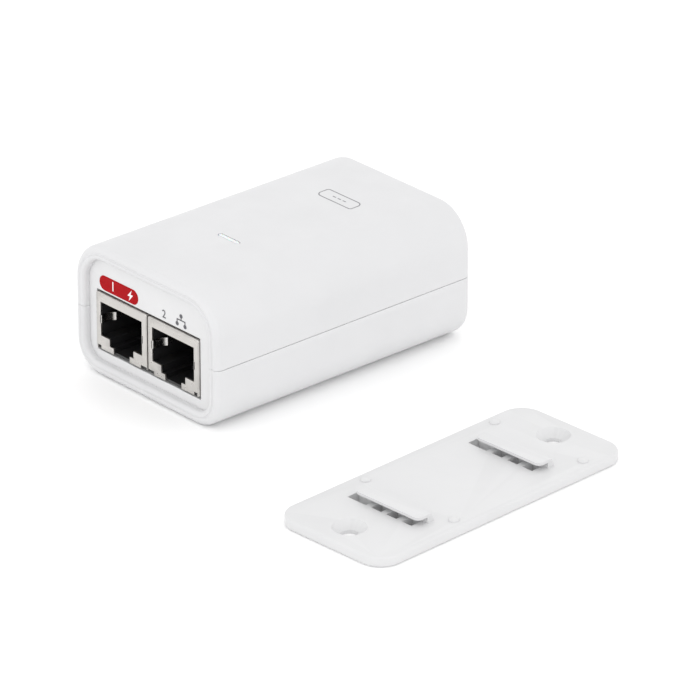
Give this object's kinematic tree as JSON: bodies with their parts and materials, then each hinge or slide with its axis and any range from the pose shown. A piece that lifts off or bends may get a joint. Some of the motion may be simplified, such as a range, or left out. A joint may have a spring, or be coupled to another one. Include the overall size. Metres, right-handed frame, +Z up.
{
  "type": "poe injector",
  "caption": "Small white power-over-Ethernet injector: shielded network jacks in front, a mains inlet behind, the power supply inside, and a separate hook-on wall plate.",
  "frame": {"origin": "centre of the case's flat underside", "axes": "+Z up out of the case's top, -Y out of the end with the network jacks, +X to the right of the jacks seen from the front"},
  "size_m": [0.1087, 0.0843, 0.0287],
  "materials": {
    "case_white": "satin moulded surface",
    "panel_white": "satin moulded surface",
    "plate_white": "satin moulded surface",
    "black_plastic": "satin",
    "clear_pipe": "polished, milky",
    "circuit_board": "solder mask",
    "insulation": "thin film",
    "jack_nickel": "satin nickel plate",
    "contact_gold": "gold plate",
    "pin_brass": "plated, bright",
    "screw_steel": "zinc plate",
    "heatsink_aluminium": "rolled sheet",
    "ferrite": "sintered, dull",
    "copper_wire": "enamelled wire",
    "yellow_tape": "polyester tape",
    "bobbin_black": "satin",
    "capacitor_sleeve": "shrunk sleeve",
    "chip_black": "moulded epoxy",
    "film_box": "moulded box",
    "varistor_blue": "dipped coating",
    "ceramic_blue": "dipped coating",
    "led_lens": "diffusing resin",
    "fuse_body": "ceramic tube"
  },
  "bodies": {
    "case": {"top_cover": "case_white", "bottom_cover": "case_white", "front_panel": "panel_white", "light_pipe": "clear_pipe", "status_led": "led_lens", "poe_jack_shield": "jack_nickel", "poe_jack_housing": "black_plastic", "lan_jack_shield": "jack_nickel", "lan_jack_housing": "black_plastic", "inlet_housing": "black_plastic", "inlet_line_pin": "pin_brass", "inlet_neutral_pin": "pin_brass", "inlet_earth_pin": "pin_brass", "main_board": "circuit_board", "insulation_sheet": "insulation", "board_screw_front": "screw_steel", "board_screw_rear": "screw_steel", "fuse": "fuse_body", "varistor": "varistor_blue", "interference_capacitor": "film_box", "choke_core": "ferrite", "choke_winding_upper": "copper_wire", "choke_winding_lower": "copper_wire", "bridge_rectifier": "chip_black", "bulk_capacitor": "capacitor_sleeve", "transformer_core_front": "ferrite", "transformer_core_rear": "ferrite", "transformer_bobbin": "bobbin_black", "transformer_winding": "yellow_tape", "heatsink": "heatsink_aluminium", "power_switch": "chip_black", "heatsink_screw": "screw_steel", "controller_chip": "chip_black", "optocoupler": "chip_black", "safety_capacitor": "ceramic_blue", "output_diode": "chip_black", "output_capacitor_left": "capacitor_sleeve", "output_capacitor_right": "capacitor_sleeve", "output_inductor": "ferrite", "network_transformer": "chip_black"},
    "poe_contacts": {"poe_jack_contacts": "contact_gold"},
    "lan_contacts": {"lan_jack_contacts": "contact_gold"},
    "loose_plate": {"wall_plate": "plate_white"}
  },
  "joints": [
    {"name": "poe_contacts_flex", "type": "hinge", "parent": "case", "child": "poe_contacts", "pos_m": [-0.0088, -0.0296, 0.0166], "axis": [1, 0, 0], "range_deg": [0, 10]},
    {"name": "lan_contacts_flex", "type": "hinge", "parent": "case", "child": "lan_contacts", "pos_m": [0.0072, -0.0296, 0.0166], "axis": [1, 0, 0], "range_deg": [0, 10]},
    {"name": "plate_slide", "type": "slide", "parent": "case", "child": "loose_plate", "axis": [1, 0, 0], "range_m": [0, 0.03]}
  ]
}
